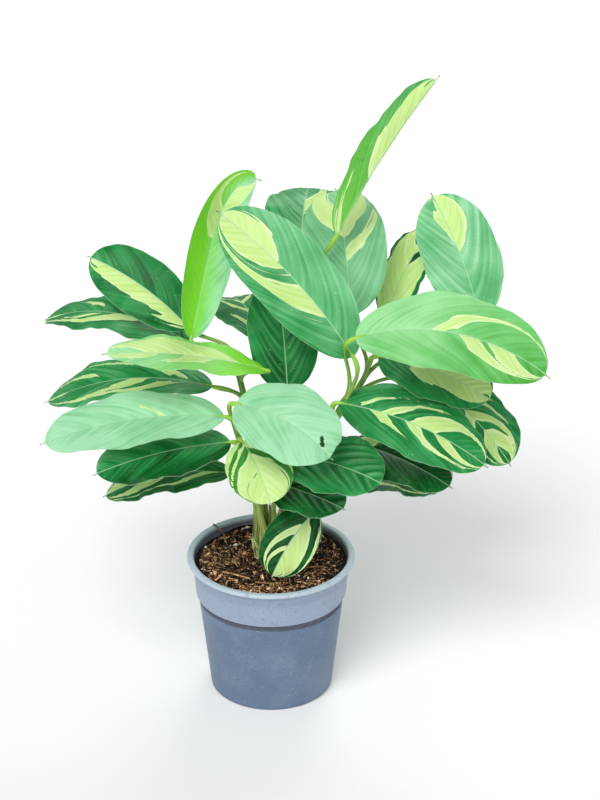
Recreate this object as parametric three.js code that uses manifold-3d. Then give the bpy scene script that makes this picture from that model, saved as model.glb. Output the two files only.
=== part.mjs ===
// Potted pilosa calathea: a moulded nursery pot, a plug of potting soil with a plain hole for each stalk,
// and one tight clump of leafy stems and single leaves. Millimetres, +Z up.
// The origin is under the middle of the pot, on the surface that it stands on.

import * as THREE from 'three';
import { mergeVertices } from 'three/addons/utils/BufferGeometryUtils.js';
import Module from 'manifold-3d';

const wasm = await Module();
wasm.setup();

// Pot
const potHeight = 105;
const rimRadius = 60;
const rimInnerRadius = 55.4;
const rimThickness = 3.2;
const rimBevel = 0.8;
const wallThickness = 1.4;
const bandTopRadius = 56;
const bandBottomRadius = 54;
const bandBottomZ = 75.5;
const grooveRadius = 50.6;
const grooveHeight = 4.8;
const grooveBevel = 0.6;
const bodyTopRadius = 51.8;
const baseRadius = 44;
const floorThickness = 2.2;
const drainHoleCount = 8;
const drainHoleRadius = 3.5;
const drainRingRadius = 31;
const roundSegments = 40;

// Soil
const soilTopZ = 99.5;
const soilMound = 1.6;
const soilLumpHeight = 0.9;
const soilRings = 5;
const soilSegments = 30;
const looseGap = 0.3;
const soilEdgeGap = 0.5;
const holeBottomZ = 72;
const drillOverrun = 12;

// Stalks
const stemFootRadius = 2.6;
const stemTopRadius = 2.1;
const leafStalkRadius = 1.3;
const basalFootRadius = 2.2;
const pulvinusRadius = 1.8;
const pulvinusLength = 15;
const stemSides = 8;
const stalkSides = 5;
const stemSteps = 8;
const stalkSteps = 3;
const clearOfSoil = 4;
const stemStraightness = 0.5;
const stemLean = 0.62;
const stemTopRise = 38;
const stalkRise = 0.45;
const stalkArch = 0.35;
const longArch = 60;
const footTaper = 1.5;
const topLeafShare = 0.985;
const leastRun = 0.02;
const bowShare = 0.4;

// Blades
const bladeThickness = 0.8;
const midribThickness = 1.5;
const bladeRows = 10;
const bladeColumns = 6;
const midribFold = 0.2;
const marginDrop = 0.34;
const marginWave = 0.035;
const wavesPerBlade = 2.6;
const leftHalfPhase = 1.9;
const widestShift = 1.08;
const bladeBodyEnd = 0.965;
const bladeRoundness = 2.25;
const tipHalfWidth = 0.07;
const tipShare = 0.06;
const stalkInBlade = 0.022;
const leastHalfWidth = 1.1;
const neckTaper = 0.6;

const degree = Math.PI / 180;
const goldenAngle = 2.39996;

// Leafy stems: foot is the place of the hole, top is where the cluster of leaves sits.
// On each leaf, from is the place on the stem where its stalk leaves it and base is where the blade begins.
// Azimuth is its compass heading (0 right, 90 back, 180 left, -90 front), pitch its slope there,
// and droop what the slope loses by the tip.
const leafyStems = [
  {
    name: 'leafy_stem_front_left',
    foot: [-5.4, 5.4],
    top: [-26, -4, 216],
    leaves: [
      {
        from: 0.86, base: [-32, -8, 219], azimuth: 187, pitch: 10, droop: 30, roll: -16,
        length: 130, width: 54,
      },
      {
        from: 0.78, base: [-28, -10, 200], azimuth: 197, pitch: 6, droop: 22, roll: -20,
        length: 100, width: 48,
      },
      {
        from: 0.93, base: [-24, -14, 232], azimuth: -34, pitch: 8, droop: 48, roll: 24,
        length: 84, width: 62,
      },
      {
        from: 0.8, base: [-20, -15, 203], azimuth: -64, pitch: -10, droop: 50, roll: 14,
        length: 54, width: 46,
      },
    ],
  },
  {
    name: 'leafy_stem_right',
    foot: [7.4, 5.4],
    top: [53, 0, 228],
    leaves: [
      {
        from: 1, base: [57, -5, 262], azimuth: 157, pitch: 56, droop: 26, roll: -48,
        length: 138, width: 57,
      },
      {
        from: 1, base: [58, -14, 280], azimuth: -15, pitch: 24, droop: 62, roll: 36,
        length: 142, width: 61,
      },
      {
        from: 0.84, base: [48, -2, 225], azimuth: -17, pitch: -2, droop: 34, roll: 26,
        length: 114, width: 56,
      },
    ],
  },
  {
    name: 'leafy_stem_back_left',
    foot: [-3.4, 13.2],
    top: [-24, 32, 246],
    leaves: [
      {
        from: 0.9, base: [-3, 7, 247], azimuth: 191, pitch: 23, droop: 22, roll: -6,
        length: 117, width: 46,
      },
      {
        from: 1, base: [-54, 38, 258], azimuth: 28, pitch: 76, droop: 112, roll: 66,
        length: 134, width: 35, bend: 6, curl: 0.7,
      },
      {
        from: 0.8, base: [-40, 34, 222], azimuth: 172, pitch: 14, droop: 46, roll: -6,
        length: 126, width: 58,
      },
      {
        from: 0.9, base: [-56, 52, 248], azimuth: 152, pitch: 24, droop: 54, roll: -4,
        length: 124, width: 58,
      },
      {
        from: 1, base: [-56, 45, 263], azimuth: 153, pitch: 42, droop: 30, roll: -46,
        length: 90, width: 45,
      },
    ],
  },
  {
    name: 'leafy_stem_back_right',
    foot: [5.4, 13.2],
    top: [68, 46, 220],
    leaves: [
      {
        from: 1, base: [78, 36, 242], azimuth: -24, pitch: 2, droop: 30, roll: 24,
        length: 88, width: 52,
      },
      {
        from: 0.88, base: [116, 42, 216], azimuth: -42, pitch: -12, droop: 36, roll: 16,
        length: 84, width: 54,
      },
      {
        from: 1, base: [151, 60, 258], azimuth: 136, pitch: 74, droop: 26, roll: -35,
        length: 98, width: 57,
      },
      {
        from: 1, base: [58, 50, 268], azimuth: 97, pitch: 80, droop: 62, roll: -8,
        length: 100, width: 60,
      },
      {
        from: 0.86, base: [85, 76, 252], azimuth: 46, pitch: 66, droop: 44, roll: -10,
        length: 86, width: 47,
      },
      {
        from: 0.7, base: [58, 22, 182], azimuth: -30, pitch: 0, droop: 25, roll: 14,
        length: 82, width: 48,
      },
    ],
  },
  {
    name: 'leafy_stem_back',
    foot: [1, 9.4],
    top: [10, 40, 254],
    leaves: [
      {
        from: 0.8, base: [13, 23, 222], azimuth: 100, pitch: 76, droop: 24, roll: 0,
        length: 84, width: 52,
      },
      {
        from: 1, base: [22, 64, 284], azimuth: 84, pitch: 44, droop: 62, roll: 0,
        length: 130, width: 58,
      },
      {
        from: 0.9, base: [-2, 62, 244], azimuth: 104, pitch: 16, droop: 50, roll: 0,
        length: 118, width: 54,
      },
      {
        from: 1, base: [49, 55, 328], azimuth: 11, pitch: 64, droop: 14, roll: -60,
        length: 132, width: 32, curl: 1.7,
      },
    ],
  },
];

// Single leaves that rise from the soil on a stalk of their own.
const basalLeaves = [
  {
    name: 'basal_leaf_front', foot: [4.2, -1], base: [10, -12, 190],
    azimuth: -32, pitch: 12, droop: 28, roll: 20, length: 78, width: 56,
  },
  {
    name: 'basal_leaf_low_front', foot: [-2, -1.2], base: [-4, -13, 171],
    azimuth: -31, pitch: 2, droop: 16, roll: 16, length: 64, width: 44,
  },
  {
    name: 'basal_leaf_hanging', foot: [10.4, 0.4], base: [31.5, -12, 146],
    azimuth: -152, pitch: -36, droop: 30, roll: -42, length: 58, width: 39,
  },
  {
    name: 'basal_leaf_left', foot: [-10.4, 10], base: [-28, 12, 164],
    azimuth: 176, pitch: 8, droop: 42, roll: -8, length: 96, width: 48,
  },
  {
    name: 'basal_leaf_right', foot: [12.4, 9.6], base: [36, 14, 158],
    azimuth: 8, pitch: 8, droop: 40, roll: 8, length: 92, width: 48,
  },
  {
    name: 'basal_leaf_back', foot: [1, 18.4], base: [2, 44, 166],
    azimuth: 95, pitch: 5, droop: 40, roll: 0, length: 94, width: 48,
  },
];

// The short pale pointed sheath of a new shoot, at the left of the clump's foot.
const newShoot = {
  name: 'new_shoot', foot: [-9.6, 1.4], tip: [-14, -4, 122], footRadius: 2.4,
  upperRadii: [{ share: 0.3, radius: 2.7 }, { share: 0.7, radius: 1.9 }, { share: 1, radius: 0.35 }],
};

// Solids from geometries, and back
function solidOf(geometry) {
  const bare = geometry.clone();
  bare.deleteAttribute('normal');
  bare.deleteAttribute('uv');
  const merged = mergeVertices(bare, 1e-4);
  return new wasm.Manifold(new wasm.Mesh({
    numProp: 3,
    vertProperties: new Float32Array(merged.attributes.position.array),
    triVerts: new Uint32Array(merged.index.array),
  }));
}

function geometryOf(solid) {
  const mesh = solid.getMesh();
  const geometry = new THREE.BufferGeometry();
  geometry.setAttribute('position', new THREE.BufferAttribute(mesh.vertProperties, 3));
  geometry.setIndex(new THREE.BufferAttribute(mesh.triVerts, 1));
  geometry.computeVertexNormals();
  return geometry;
}

function addPiece(group, name, solid, colour, roughness) {
  const material = new THREE.MeshStandardMaterial({ color: colour, roughness, metalness: 0 });
  const piece = new THREE.Mesh(geometryOf(solid), material);
  piece.name = name;
  group.add(piece);
}

// Pot: one turned shell, open at the top, with drain holes in its floor
function potInnerProfile(gap) {
  const inset = wallThickness + gap;
  return [
    [baseRadius - inset, floorThickness + gap],
    [bodyTopRadius - inset, bandBottomZ - grooveHeight - wallThickness],
    [grooveRadius - inset, bandBottomZ - grooveHeight],
    [grooveRadius - inset, bandBottomZ + grooveBevel],
    [bandBottomRadius - inset, bandBottomZ + grooveBevel + wallThickness],
  ];
}

function latheSolid(profile, segments) {
  const points = profile.map(([radius, z]) => new THREE.Vector2(radius, z));
  const turned = new THREE.LatheGeometry(points, segments);
  turned.rotateX(Math.PI / 2);
  return solidOf(turned);
}

function makePot() {
  const profile = [
    [0, 0],
    [baseRadius - 1, 0],
    [baseRadius, 1],
    [bodyTopRadius, bandBottomZ - grooveHeight - grooveBevel],
    [grooveRadius, bandBottomZ - grooveHeight],
    [grooveRadius, bandBottomZ],
    [bandBottomRadius, bandBottomZ + grooveBevel],
    [bandTopRadius, potHeight - rimThickness],
    [rimRadius - rimBevel, potHeight - rimThickness],
    [rimRadius, potHeight - rimThickness + rimBevel],
    [rimRadius, potHeight - rimBevel],
    [rimRadius - rimBevel, potHeight],
    [rimInnerRadius + rimBevel, potHeight],
    [rimInnerRadius, potHeight - rimBevel],
    [bandTopRadius - wallThickness, potHeight - rimThickness - 1],
    ...potInnerProfile(0).reverse(),
    [0, floorThickness],
  ];
  let pot = latheSolid(profile, roundSegments);
  for (let i = 0; i < drainHoleCount; i += 1) {
    const angle = (2 * Math.PI * i) / drainHoleCount;
    const drill = new THREE.CylinderGeometry(drainHoleRadius, drainHoleRadius, 3 * floorThickness, 10);
    drill.rotateX(Math.PI / 2);
    drill.translate(drainRingRadius * Math.cos(angle), drainRingRadius * Math.sin(angle), 0);
    pot = pot.subtract(solidOf(drill));
  }
  return pot;
}

// Soil: a plug that fills the pot, mounded towards the clump, with a lumpy top
function soilHeight(x, y) {
  const edge = Math.min(1, Math.hypot(x, y) / bandTopRadius);
  const lumps = Math.sin(0.31 * x + 1.3) * Math.cos(0.27 * y - 0.4) + 0.6 * Math.sin(0.19 * x - 0.36 * y);
  return soilTopZ + soilMound * (1 - edge * edge) + soilLumpHeight * lumps * (1 - 0.5 * edge);
}

function soilTopRadius() {
  const rise = (soilTopZ - bandBottomZ) / (potHeight - rimThickness - bandBottomZ);
  const wall = bandBottomRadius + rise * (bandTopRadius - bandBottomRadius);
  return wall - wallThickness - soilEdgeGap;
}

function makeSoil(feet) {
  const outline = potInnerProfile(looseGap);
  const positions = [0, 0, floorThickness + looseGap];
  const triangles = [];
  const rings = outline.map(([radius, z]) => ({ radius, height: () => z }));
  for (let ring = soilRings; ring > 0; ring -= 1) {
    rings.push({ radius: (soilTopRadius() * ring) / soilRings, height: soilHeight });
  }
  rings.forEach(({ radius, height }, ring) => {
    for (let i = 0; i < soilSegments; i += 1) {
      const angle = (2 * Math.PI * i) / soilSegments;
      const x = radius * Math.cos(angle);
      const y = radius * Math.sin(angle);
      positions.push(x, y, height(x, y));
      const here = 1 + ring * soilSegments + i;
      const next = 1 + ring * soilSegments + ((i + 1) % soilSegments);
      if (ring === 0) triangles.push(0, next, here);
      else triangles.push(here - soilSegments, next - soilSegments, next, here - soilSegments, next, here);
    }
  });
  const crown = positions.length / 3;
  positions.push(0, 0, soilHeight(0, 0));
  for (let i = 0; i < soilSegments; i += 1) {
    const last = crown - soilSegments;
    triangles.push(last + i, last + ((i + 1) % soilSegments), crown);
  }
  const plug = new THREE.BufferGeometry();
  plug.setAttribute('position', new THREE.Float32BufferAttribute(positions, 3));
  plug.setIndex(triangles);
  let soil = solidOf(plug);
  for (const { foot: [x, y], radius } of feet) {
    const depth = soilTopZ + drillOverrun - holeBottomZ;
    const drill = new THREE.CylinderGeometry(radius + looseGap, radius + looseGap, depth, 10);
    drill.rotateX(Math.PI / 2);
    drill.translate(x, y, holeBottomZ + depth / 2);
    soil = soil.subtract(solidOf(drill));
  }
  return soil;
}

// A round stalk: a ring of its own radius at each station of a curve, closed at both ends
function stalkSolid(curve, stations, sides) {
  const positions = [];
  const triangles = [];
  const across = new THREE.Vector3(1, 0, 0);
  stations.forEach(({ at, radius }, i) => {
    const centre = curve.getPointAt(at);
    const tangent = curve.getTangentAt(at);
    across.addScaledVector(tangent, -across.dot(tangent)).normalize();
    const other = new THREE.Vector3().crossVectors(tangent, across);
    for (let j = 0; j < sides; j += 1) {
      const angle = (2 * Math.PI * j) / sides;
      const point = centre.clone()
        .addScaledVector(across, radius * Math.cos(angle))
        .addScaledVector(other, radius * Math.sin(angle));
      positions.push(point.x, point.y, point.z);
      if (i === 0) continue;
      const next = (j + 1) % sides;
      const near = (i - 1) * sides;
      const far = i * sides;
      triangles.push(near + j, near + next, far + next, near + j, far + next, far + j);
    }
  });
  const end = (stations.length - 1) * sides;
  for (let j = 1; j < sides - 1; j += 1) {
    triangles.push(0, j + 1, j);
    triangles.push(end, end + j, end + j + 1);
  }
  const geometry = new THREE.BufferGeometry();
  geometry.setAttribute('position', new THREE.Float32BufferAttribute(positions, 3));
  geometry.setIndex(triangles);
  return solidOf(geometry);
}

// Blade: a midrib that bends as it goes, and two crowned halves with a waved margin
function heading(leaf, s) {
  const slope = (leaf.pitch - leaf.droop * s ** (leaf.bend ?? 1)) * degree;
  const compass = leaf.azimuth * degree;
  return new THREE.Vector3(
    Math.cos(compass) * Math.cos(slope),
    Math.sin(compass) * Math.cos(slope),
    Math.sin(slope),
  );
}

function midribPoint(leaf, s) {
  const pieces = 24;
  const point = new THREE.Vector3(...leaf.base);
  for (let i = 0; i < pieces; i += 1) {
    point.addScaledVector(heading(leaf, (s * (i + 0.5)) / pieces), (leaf.length * s) / pieces);
  }
  return point;
}

function halfWidth(leaf, s) {
  const along = Math.min(1, s / bladeBodyEnd);
  const body = Math.max(0, 1 - Math.abs(2 * along ** widestShift - 1) ** bladeRoundness) ** 0.5;
  const tip = tipHalfWidth * Math.min(1, (1 - s) / tipShare);
  return Math.max(leastHalfWidth * (1 - neckTaper * s), (leaf.width / 2) * Math.max(body, s > 0.5 ? tip : 0));
}

function bladePoint(leaf, s, v) {
  const compass = leaf.azimuth * degree;
  const left = new THREE.Vector3(-Math.sin(compass), Math.cos(compass), 0);
  const ahead = heading(leaf, s);
  const above = new THREE.Vector3().crossVectors(ahead, left);
  const roll = leaf.roll * degree;
  const side = left.clone().multiplyScalar(Math.cos(roll)).addScaledVector(above, Math.sin(roll));
  const up = above.clone().multiplyScalar(Math.cos(roll)).addScaledVector(left, -Math.sin(roll));
  const half = halfWidth(leaf, s);
  const curl = leaf.curl ?? -marginDrop;
  const across = (half * Math.sin(curl * v)) / curl;
  const crown = (half * (1 - Math.cos(curl * v))) / curl;
  const phase = leaf.phase + (v > 0 ? leftHalfPhase : 0);
  const wave = Math.sin(2 * Math.PI * wavesPerBlade * s + phase) * Math.sin(Math.PI * s) ** 0.5;
  const rise = crown + midribFold * half * Math.abs(v) + marginWave * leaf.width * v * v * wave;
  return midribPoint(leaf, s).addScaledVector(side, across).addScaledVector(up, rise);
}

function bladeNormal(leaf, s, v) {
  const step = 0.01;
  const ahead = bladePoint(leaf, Math.min(1, s + step), v).sub(bladePoint(leaf, Math.max(0, s - step), v));
  const across = bladePoint(leaf, s, Math.min(1, v + step)).sub(bladePoint(leaf, s, Math.max(-1, v - step)));
  return ahead.cross(across).normalize();
}

function bladeSolid(leaf) {
  const positions = [];
  const triangles = [];
  const columns = bladeColumns + 1;
  const faceSize = (bladeRows + 1) * columns;
  for (const face of [1, -1]) {
    for (let i = 0; i <= bladeRows; i += 1) {
      const s = (1 - Math.cos((Math.PI * i) / bladeRows)) / 2;
      for (let j = 0; j < columns; j += 1) {
        const v = (2 * j) / bladeColumns - 1;
        const rib = Math.max(0, 1 - 3 * Math.abs(v)) * (1 - s);
        const ribDepth = face > 0 ? 0 : rib * (midribThickness - bladeThickness);
        const offset = face * (bladeThickness / 2 + ribDepth);
        const point = bladePoint(leaf, s, v).addScaledVector(bladeNormal(leaf, s, v), offset);
        positions.push(point.x, point.y, point.z);
      }
    }
  }
  const quad = (a, b, c, d) => triangles.push(a, b, c, a, c, d);
  for (let i = 0; i < bladeRows; i += 1) {
    for (let j = 0; j < bladeColumns; j += 1) {
      const a = i * columns + j;
      quad(a, a + columns, a + columns + 1, a + 1);
      triangles.push(faceSize + a, faceSize + a + columns + 1, faceSize + a + columns);
      triangles.push(faceSize + a, faceSize + a + 1, faceSize + a + columns + 1);
    }
    const right = i * columns;
    const left = i * columns + bladeColumns;
    quad(right, faceSize + right, faceSize + right + columns, right + columns);
    quad(left, left + columns, faceSize + left + columns, faceSize + left);
  }
  for (let j = 0; j < bladeColumns; j += 1) {
    const tip = bladeRows * columns + j;
    quad(j, j + 1, faceSize + j + 1, faceSize + j);
    quad(tip, faceSize + tip, faceSize + tip + 1, tip + 1);
  }
  const geometry = new THREE.BufferGeometry();
  geometry.setAttribute('position', new THREE.Float32BufferAttribute(positions, 3));
  geometry.setIndex(triangles);
  return solidOf(geometry);
}

// Leaf: the stalk, thickened just before the blade, and the blade, as one solid
function stalkCurve(start, startHeading, leaf) {
  const base = new THREE.Vector3(...leaf.base);
  const reach = start.distanceTo(base);
  const rise = start.clone().addScaledVector(startHeading, stalkRise * reach);
  const level = stalkArch * Math.min(reach, longArch);
  const meet = base.clone().addScaledVector(heading(leaf, 0), -level);
  return new THREE.CubicBezierCurve3(start, rise, meet, base);
}

function leafSolid(path, straight, footRadius, leaf) {
  path.add(new THREE.LineCurve3(new THREE.Vector3(...leaf.base), midribPoint(leaf, stalkInBlade)));
  const whole = path.getLength();
  const bladeAt = 1 - path.curves.at(-1).getLength() / whole;
  const pulvinusAt = Math.max(straight / whole + leastRun, bladeAt - pulvinusLength / whole);
  const stations = [{ at: 0, radius: footRadius }];
  if (straight > 0) stations.push({ at: straight / whole, radius: footRadius });
  const free = pulvinusAt - straight / whole;
  for (let i = 1; i < stalkSteps; i += 1) {
    const share = i / stalkSteps;
    const radius = footRadius + (leafStalkRadius - footRadius) * Math.min(1, footTaper * share);
    stations.push({ at: straight / whole + free * share, radius });
  }
  stations.push({ at: pulvinusAt, radius: leafStalkRadius });
  stations.push({ at: (pulvinusAt + 2 * bladeAt) / 3, radius: pulvinusRadius });
  stations.push({ at: bladeAt, radius: leafStalkRadius });
  stations.push({ at: 1, radius: leastHalfWidth * neckTaper });
  return stalkSolid(path, stations, stalkSides).add(bladeSolid(leaf));
}

function rootedLine([x, y]) {
  const foot = new THREE.Vector3(x, y, holeBottomZ + looseGap);
  return new THREE.LineCurve3(foot, new THREE.Vector3(x, y, soilTopZ + clearOfSoil));
}

function stemPath(stem) {
  const line = rootedLine(stem.foot);
  const [x, y] = stem.foot;
  const top = new THREE.Vector3(...stem.top);
  const straight = new THREE.Vector3(x, y, line.v2.z + stemStraightness * (top.z - line.v2.z));
  const lean = new THREE.Vector3().lerpVectors(line.v2, top, stemLean);
  lean.z = top.z - stemTopRise;
  const path = new THREE.CurvePath();
  path.add(line);
  path.add(new THREE.CubicBezierCurve3(line.v2, straight, lean, top));
  return path;
}

function makeLeafyStem(stem) {
  const path = stemPath(stem);
  const whole = path.getLength();
  const soilAt = path.curves[0].getLength() / whole;
  const stations = [{ at: 0, radius: stemFootRadius }, { at: soilAt, radius: stemFootRadius }];
  for (let i = 1; i <= stemSteps; i += 1) {
    const share = i / stemSteps;
    const radius = stemFootRadius + (stemTopRadius - stemFootRadius) * share;
    stations.push({ at: soilAt + (1 - soilAt) * share, radius });
  }
  let solid = stalkSolid(path, stations, stemSides);
  for (const leaf of stem.leaves) {
    const at = leaf.from * topLeafShare;
    const leafPath = new THREE.CurvePath();
    leafPath.add(stalkCurve(path.getPointAt(at), path.getTangentAt(at), leaf));
    solid = solid.add(leafSolid(leafPath, 0, leafStalkRadius, leaf));
  }
  return solid;
}

function makeBasalLeaf(leaf) {
  const line = rootedLine(leaf.foot);
  const path = new THREE.CurvePath();
  path.add(line);
  path.add(stalkCurve(line.v2, new THREE.Vector3(0, 0, 1), leaf));
  return leafSolid(path, line.getLength(), basalFootRadius, leaf);
}

function makeNewShoot() {
  const line = rootedLine(newShoot.foot);
  const tip = new THREE.Vector3(...newShoot.tip);
  const path = new THREE.CurvePath();
  path.add(line);
  const bow = line.v2.clone().lerp(tip, bowShare).setX(line.v2.x);
  path.add(new THREE.QuadraticBezierCurve3(line.v2, bow, tip));
  const soilAt = line.getLength() / path.getLength();
  const stations = [0, soilAt].map((at) => ({ at, radius: newShoot.footRadius }));
  for (const { share, radius } of newShoot.upperRadii) {
    stations.push({ at: soilAt + (1 - soilAt) * share, radius });
  }
  return stalkSolid(path, stations, stalkSides);
}

// Every leaf takes its wave from its place in the list.
[...leafyStems.flatMap((stem) => stem.leaves), ...basalLeaves].forEach((leaf, index) => {
  leaf.phase = index * goldenAngle;
});

const group = new THREE.Group();
const feet = [
  ...leafyStems.map(({ foot }) => ({ foot, radius: stemFootRadius })),
  ...basalLeaves.map(({ foot }) => ({ foot, radius: basalFootRadius })),
  { foot: newShoot.foot, radius: newShoot.footRadius },
];
addPiece(group, 'pot', makePot(), '#93a2b8', 0.55);
addPiece(group, 'soil', makeSoil(feet), '#3b281c', 0.95);
for (const stem of leafyStems) addPiece(group, stem.name, makeLeafyStem(stem), '#4b9c63', 0.45);
for (const leaf of basalLeaves) addPiece(group, leaf.name, makeBasalLeaf(leaf), '#2f7d4c', 0.45);
addPiece(group, newShoot.name, makeNewShoot(), '#c9cf8a', 0.6);

export default group;
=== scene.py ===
import functools
import random
from math import cos, dist, exp, hypot, pi, sin, sqrt

import bmesh
import bpy
import numpy as np
from mathutils import Matrix, Vector, noise


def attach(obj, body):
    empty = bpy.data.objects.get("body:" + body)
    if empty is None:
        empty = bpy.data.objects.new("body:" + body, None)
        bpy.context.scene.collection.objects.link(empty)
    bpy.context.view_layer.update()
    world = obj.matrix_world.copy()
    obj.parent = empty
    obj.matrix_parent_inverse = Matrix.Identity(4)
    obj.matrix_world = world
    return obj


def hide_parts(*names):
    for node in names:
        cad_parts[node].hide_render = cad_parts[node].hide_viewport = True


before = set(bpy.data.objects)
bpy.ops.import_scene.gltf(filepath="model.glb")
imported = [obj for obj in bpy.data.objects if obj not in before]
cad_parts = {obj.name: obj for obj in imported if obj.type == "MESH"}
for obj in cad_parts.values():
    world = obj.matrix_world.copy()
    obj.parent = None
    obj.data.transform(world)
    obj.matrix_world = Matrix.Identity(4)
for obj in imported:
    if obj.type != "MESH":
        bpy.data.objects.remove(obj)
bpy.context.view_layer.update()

mm = 0.001  # sizes below are in millimetres, and are scaled to metres once
degree = pi / 180
fullTurn = 2 * pi
scene = bpy.context.scene


def addObject(name, data):
    thing = bpy.data.objects.new(name, data)
    scene.collection.objects.link(thing)
    return thing


def addStand(name, data, place, aim, unit=1):  # a camera or lamp, turned to look at aim; unit is in metres
    stand = addObject(name, data)
    stand.location = Vector(place) * unit
    stand.rotation_euler = (Vector(aim) - Vector(place)).to_track_quat("-Z", "Y").to_euler()
    return stand


# camera: stands where the photograph was taken from, and is zoomed in on the plant
camera = {"place": (-41, -1547, 994), "aim": (22, 30, 212), "lens": 112, "sensor": 36, "clip": (0.05, 60)}
eye = bpy.data.cameras.new("studio_camera")
eye.lens, eye.sensor_width = camera["lens"], camera["sensor"]
eye.clip_start, eye.clip_end = camera["clip"]
scene.camera = addStand("studio_camera", eye, camera["place"], camera["aim"], mm)
print("camera set")


# colours, nodes and pieces
def linear(code):
    channels = [int(code[i:i + 2], 16) / 255 for i in (1, 3, 5)]
    return (*[c / 12.92 if c <= 0.04045 else ((c + 0.055) / 1.055) ** 2.4 for c in channels], 1.0)


nodeChoices = {"Math": "operation", "VectorMath": "operation", "MapRange": "interpolation_type", "Mix": "data_type"}


def addNode(tree, kind, *values, named=None, stops=None, output=None, **settings):
    kind, _, choice = kind.partition(" ")  # a second word is what that kind of node is set to, as in "Math ADD"
    node = tree.nodes.new("ShaderNode" + kind)
    if choice:
        setattr(node, nodeChoices[kind], choice)
    for setting, value in settings.items():
        setattr(node, setting, value)
    for number, (place, colour) in enumerate(stops or []):
        ramp = node.color_ramp.elements
        element = ramp[number] if number < len(ramp) else ramp.new(place)
        element.position, element.color = place, linear(colour)
    live = [socket for socket in node.inputs if socket.enabled]  # values go to these in order
    pairs = list(zip(live, values)) + [(node.inputs[key], value) for key, value in (named or {}).items()]
    for socket, value in pairs:
        if isinstance(value, bpy.types.NodeSocket):
            tree.links.new(value, socket)
        else:
            socket.default_value = linear(value) if isinstance(value, str) else value
    given = [socket for socket in node.outputs if socket.enabled]
    return node.outputs[output] if output else given[0] if given else None


def newMaterial(name):
    material = bpy.data.materials.new(name)
    material.use_nodes = True
    material.node_tree.nodes.clear()
    return material, functools.partial(addNode, material.node_tree)


def fieldsOf(add, *labels):  # the numbers that a mesh keeps at its points, three to a label
    fields = []
    for label in labels:
        fields += add("SeparateXYZ", add("Attribute", output="Vector", attribute_name=label)).node.outputs[:]
    return fields


def laidOver(add, colour, marks, masks):  # each mark: its mask, start, full, most cover and colour
    for name, start, full, most, ink in marks:
        share = add("MapRange SMOOTHSTEP", masks[name], start, full, 0.0, most)
        colour = add("Mix RGBA", share, colour, ink)
    return colour


def addSkin(add, colour, roughness, height, strength, depth, **more):  # depth in mm; more is named after the sockets
    bump = add("Bump", named={"Height": height, "Strength": strength, "Distance": depth * mm})
    more = {key.replace("_", " "): value for key, value in more.items()}
    return add("BsdfPrincipled", named={"Base Color": colour, "Roughness": roughness, "Normal": bump, **more})


def addPiece(name, mesh, material, replaced=None):
    mesh.name = name
    mesh.materials.append(material)
    piece = addObject(name, mesh)
    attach(piece, "root")
    if replaced:
        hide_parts(replaced)
    return piece


def smoothed(mesh, sharpAngle):
    mesh.shade_smooth()
    mesh.set_sharp_from_angle(angle=sharpAngle * degree)
    return mesh


def meshOf(points, faces, fields=None, sharpAngle=None):
    mesh = bpy.data.meshes.new("new_mesh")
    mesh.from_pydata((np.asarray(points, float) * mm).tolist(), [], faces)
    for label, values in (fields or {}).items():
        layer = mesh.attributes.new(label, "FLOAT_VECTOR", "POINT")
        layer.data.foreach_set("vector", np.asarray(values, np.float32).ravel())
    return smoothed(mesh, sharpAngle) if sharpAngle else mesh


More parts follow.
